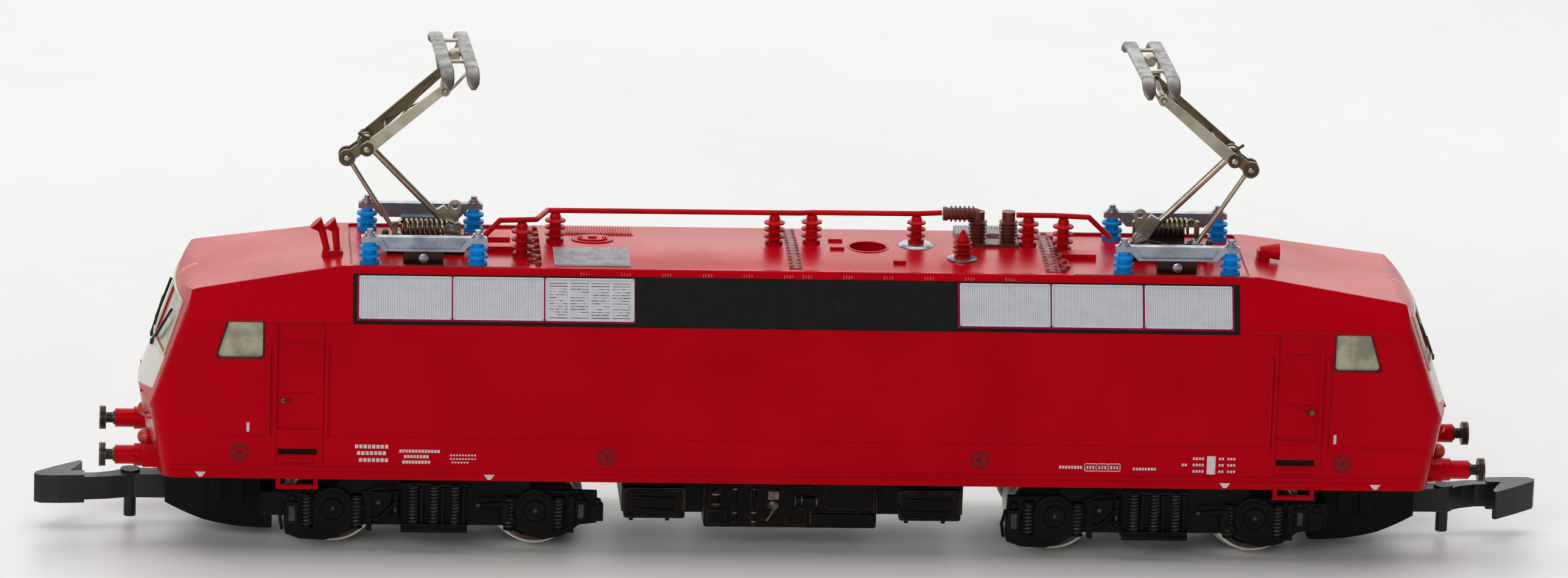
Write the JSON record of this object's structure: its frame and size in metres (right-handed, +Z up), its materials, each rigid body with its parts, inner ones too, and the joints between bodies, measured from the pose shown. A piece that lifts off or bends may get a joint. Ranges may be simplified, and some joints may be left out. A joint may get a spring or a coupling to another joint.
{
  "type": "model electric locomotive",
  "caption": "Small-scale four-axle electric locomotive with driven bogies, hook couplers, glazed cabs and folding single-arm pantographs.",
  "frame": {"origin": "on the rail plane under the middle of the locomotive", "axes": "+X along the body towards the front cab, +Y to the far side, +Z up"},
  "size_m": [0.0964, 0.0138, 0.0319],
  "materials": {
    "red_paint": "satin red enamel over die-cast metal",
    "clear_glazing": "clear moulding",
    "dark_metal": "blackened metal",
    "lamp_plastic": "tinted light guide",
    "nickel": "nickel silver",
    "insulator_plastic": "blue moulding",
    "red_plastic": "red moulding",
    "copper_wire": "copper",
    "steel": "bright steel",
    "die_cast_metal": "grey die-cast metal",
    "dark_plastic": "black moulding",
    "brass_metal": "plain brass",
    "board_laminate": "green laminate",
    "silver_metal": "silver-grey metal",
    "gear_plastic": "ivory moulding",
    "wheel_steel": "bright tread, browned face"
  },
  "bodies": {
    "chassis": {"body_shell": "red_paint", "cab_glazing_front": "clear_glazing", "cab_glazing_rear": "clear_glazing", "buffers": "dark_metal", "wipers": "dark_metal", "headlamp_lenses": "lamp_plastic", "horn_front": "red_plastic", "horn_rear": "red_plastic", "roof_insulators": "red_plastic", "roof_conductor": "red_plastic", "main_breaker": "red_plastic", "terminal_base": "silver_metal", "chassis_block": "die_cast_metal", "underfloor_tank": "dark_plastic", "motor_case": "steel", "motor_magnets": "die_cast_metal", "motor_brushes": "copper_wire", "circuit_board": "board_laminate", "board_screws": "steel", "cab_lamps": "clear_glazing", "panto_base_front": "silver_metal", "panto_insulators_front": "insulator_plastic", "panto_spring_front": "brass_metal", "panto_base_rear": "silver_metal", "panto_insulators_rear": "insulator_plastic", "panto_spring_rear": "brass_metal"},
    "motor_rotor": {"motor_rotor": "steel", "worms": "brass_metal"},
    "selector_screw": {"selector_screw": "steel"},
    "bogie_front": {"bogie_frame_front": "die_cast_metal", "bogie_keeper_front": "dark_plastic", "bogie_dress_front": "dark_plastic", "coupler_spring_front": "steel"},
    "worm_wheel_front": {"worm_wheel_front": "gear_plastic"},
    "centre_gear_front": {"centre_gear_front": "gear_plastic"},
    "idler_gear_outer_front": {"idler_gear_outer_front": "gear_plastic"},
    "idler_gear_inner_front": {"idler_gear_inner_front": "gear_plastic"},
    "wheelset_outer_front": {"wheelset_outer_front": "wheel_steel"},
    "wheelset_inner_front": {"wheelset_inner_front": "wheel_steel"},
    "coupler_front": {"coupler_front": "dark_plastic"},
    "lower_arm_front": {"lower_arm_front": "nickel"},
    "upper_arm_front": {"upper_arm_front": "nickel"},
    "coupling_rod_front": {"coupling_rod_front": "nickel"},
    "panto_head_front": {"panto_head_front": "silver_metal"},
    "bogie_rear": {"bogie_frame_rear": "die_cast_metal", "bogie_keeper_rear": "dark_plastic", "bogie_dress_rear": "dark_plastic", "coupler_spring_rear": "steel"},
    "worm_wheel_rear": {"worm_wheel_rear": "gear_plastic"},
    "centre_gear_rear": {"centre_gear_rear": "gear_plastic"},
    "idler_gear_outer_rear": {"idler_gear_outer_rear": "gear_plastic"},
    "idler_gear_inner_rear": {"idler_gear_inner_rear": "gear_plastic"},
    "wheelset_outer_rear": {"wheelset_outer_rear": "wheel_steel"},
    "wheelset_inner_rear": {"wheelset_inner_rear": "wheel_steel"},
    "coupler_rear": {"coupler_rear": "dark_plastic"},
    "lower_arm_rear": {"lower_arm_rear": "nickel"},
    "upper_arm_rear": {"upper_arm_rear": "nickel"},
    "coupling_rod_rear": {"coupling_rod_rear": "nickel"},
    "panto_head_rear": {"panto_head_rear": "silver_metal"}
  },
  "joints": [
    {"name": "motor_spin", "type": "hinge", "parent": "chassis", "child": "motor_rotor", "pos_m": [0, 0, 0.00935], "axis": [1, 0, 0], "continuous": true},
    {"name": "selector_turn", "type": "hinge", "parent": "chassis", "child": "selector_screw", "pos_m": [0.0045, 0, 0.016], "axis": [0, 0, 1], "range_deg": [0, 90]},
    {"name": "bogie_swivel_front", "type": "hinge", "parent": "chassis", "child": "bogie_front", "pos_m": [0.0229, 0, 0.006], "axis": [0, 0, 1], "range_deg": [-6, 6]},
    {"name": "worm_wheel_front_spin", "type": "hinge", "parent": "bogie_front", "child": "worm_wheel_front", "pos_m": [0.0229, 0, 0.0066], "axis": [0, 1, 0], "continuous": true},
    {"name": "centre_gear_front_spin", "type": "hinge", "parent": "bogie_front", "child": "centre_gear_front", "pos_m": [0.0229, 0, 0.0031], "axis": [0, 1, 0], "continuous": true},
    {"name": "idler_gear_outer_front_spin", "type": "hinge", "parent": "bogie_front", "child": "idler_gear_outer_front", "pos_m": [0.0261, 0, 0.00367], "axis": [0, 1, 0], "continuous": true},
    {"name": "idler_gear_inner_front_spin", "type": "hinge", "parent": "bogie_front", "child": "idler_gear_inner_front", "pos_m": [0.0197, 0, 0.00367], "axis": [0, 1, 0], "continuous": true},
    {"name": "wheelset_outer_front_spin", "type": "hinge", "parent": "bogie_front", "child": "wheelset_outer_front", "pos_m": [0.0293, 0, 0.0031], "axis": [0, 1, 0], "continuous": true},
    {"name": "wheelset_inner_front_spin", "type": "hinge", "parent": "bogie_front", "child": "wheelset_inner_front", "pos_m": [0.0165, 0, 0.0031], "axis": [0, 1, 0], "continuous": true},
    {"name": "coupler_swing_front", "type": "hinge", "parent": "bogie_front", "child": "coupler_front", "pos_m": [0.0366, 0, 0.0026], "axis": [0, 0, 1], "range_deg": [-10, 10], "stiffness_Nm_per_rad": 0.0005},
    {"name": "lower_arm_fold_front", "type": "hinge", "parent": "chassis", "child": "lower_arm_front", "pos_m": [0.0219, 0, 0.0196], "axis": [0, 1, 0], "range_deg": [0, 30], "stiffness_Nm_per_rad": 0.0004, "springref_deg": -57.3},
    {"name": "upper_arm_fold_front", "type": "hinge", "parent": "lower_arm_front", "child": "upper_arm_front", "pos_m": [0.0275, 0, 0.0253], "axis": [0, 1, 0], "range_deg": [-59.43, 0]},
    {"name": "coupling_rod_fold_front", "type": "hinge", "parent": "chassis", "child": "coupling_rod_front", "pos_m": [0.0254, 0, 0.0192], "axis": [0, 1, 0], "range_deg": [0, 35.97]},
    {"name": "panto_head_level_front", "type": "hinge", "parent": "upper_arm_front", "child": "panto_head_front", "pos_m": [0.0227, 0, 0.0295], "axis": [0, 1, 0], "range_deg": [0, 29.43]},
    {"name": "bogie_swivel_rear", "type": "hinge", "parent": "chassis", "child": "bogie_rear", "pos_m": [-0.0229, 0, 0.006], "axis": [0, 0, 1], "range_deg": [-6, 6]},
    {"name": "worm_wheel_rear_spin", "type": "hinge", "parent": "bogie_rear", "child": "worm_wheel_rear", "pos_m": [-0.0229, 0, 0.0066], "axis": [0, 1, 0], "continuous": true},
    {"name": "centre_gear_rear_spin", "type": "hinge", "parent": "bogie_rear", "child": "centre_gear_rear", "pos_m": [-0.0229, 0, 0.0031], "axis": [0, 1, 0], "continuous": true},
    {"name": "idler_gear_outer_rear_spin", "type": "hinge", "parent": "bogie_rear", "child": "idler_gear_outer_rear", "pos_m": [-0.0261, 0, 0.00367], "axis": [0, 1, 0], "continuous": true},
    {"name": "idler_gear_inner_rear_spin", "type": "hinge", "parent": "bogie_rear", "child": "idler_gear_inner_rear", "pos_m": [-0.0197, 0, 0.00367], "axis": [0, 1, 0], "continuous": true},
    {"name": "wheelset_outer_rear_spin", "type": "hinge", "parent": "bogie_rear", "child": "wheelset_outer_rear", "pos_m": [-0.0293, 0, 0.0031], "axis": [0, 1, 0], "continuous": true},
    {"name": "wheelset_inner_rear_spin", "type": "hinge", "parent": "bogie_rear", "child": "wheelset_inner_rear", "pos_m": [-0.0165, 0, 0.0031], "axis": [0, 1, 0], "continuous": true},
    {"name": "coupler_swing_rear", "type": "hinge", "parent": "bogie_rear", "child": "coupler_rear", "pos_m": [-0.0366, 0, 0.0026], "axis": [0, 0, 1], "range_deg": [-10, 10], "stiffness_Nm_per_rad": 0.0005},
    {"name": "lower_arm_fold_rear", "type": "hinge", "parent": "chassis", "child": "lower_arm_rear", "pos_m": [-0.0219, 0, 0.0196], "axis": [0, -1, 0], "range_deg": [0, 30], "stiffness_Nm_per_rad": 0.0004, "springref_deg": -57.3},
    {"name": "upper_arm_fold_rear", "type": "hinge", "parent": "lower_arm_rear", "child": "upper_arm_rear", "pos_m": [-0.0275, 0, 0.0253], "axis": [0, -1, 0], "range_deg": [-59.43, 0]},
    {"name": "coupling_rod_fold_rear", "type": "hinge", "parent": "chassis", "child": "coupling_rod_rear", "pos_m": [-0.0254, 0, 0.0192], "axis": [0, -1, 0], "range_deg": [0, 35.97]},
    {"name": "panto_head_level_rear", "type": "hinge", "parent": "upper_arm_rear", "child": "panto_head_rear", "pos_m": [-0.0227, 0, 0.0295], "axis": [0, -1, 0], "range_deg": [0, 29.43]}
  ],
  "couplings": [
    {"joint": "worm_wheel_front_spin", "follows": "motor_spin", "ratio": -0.071429},
    {"joint": "centre_gear_front_spin", "follows": "motor_spin", "ratio": 0.071429},
    {"joint": "idler_gear_outer_front_spin", "follows": "motor_spin", "ratio": -0.083333},
    {"joint": "idler_gear_inner_front_spin", "follows": "motor_spin", "ratio": -0.083333},
    {"joint": "wheelset_outer_front_spin", "follows": "motor_spin", "ratio": 0.071429},
    {"joint": "wheelset_inner_front_spin", "follows": "motor_spin", "ratio": 0.071429},
    {"joint": "upper_arm_fold_front", "follows": "lower_arm_fold_front", "ratio": -1.981},
    {"joint": "coupling_rod_fold_front", "follows": "lower_arm_fold_front", "ratio": 1.199},
    {"joint": "panto_head_level_front", "follows": "lower_arm_fold_front", "ratio": 0.981},
    {"joint": "worm_wheel_rear_spin", "follows": "motor_spin", "ratio": -0.071429},
    {"joint": "centre_gear_rear_spin", "follows": "motor_spin", "ratio": 0.071429},
    {"joint": "idler_gear_outer_rear_spin", "follows": "motor_spin", "ratio": -0.083333},
    {"joint": "idler_gear_inner_rear_spin", "follows": "motor_spin", "ratio": -0.083333},
    {"joint": "wheelset_outer_rear_spin", "follows": "motor_spin", "ratio": 0.071429},
    {"joint": "wheelset_inner_rear_spin", "follows": "motor_spin", "ratio": 0.071429},
    {"joint": "upper_arm_fold_rear", "follows": "lower_arm_fold_rear", "ratio": -1.981},
    {"joint": "coupling_rod_fold_rear", "follows": "lower_arm_fold_rear", "ratio": 1.199},
    {"joint": "panto_head_level_rear", "follows": "lower_arm_fold_rear", "ratio": 0.981}
  ]
}
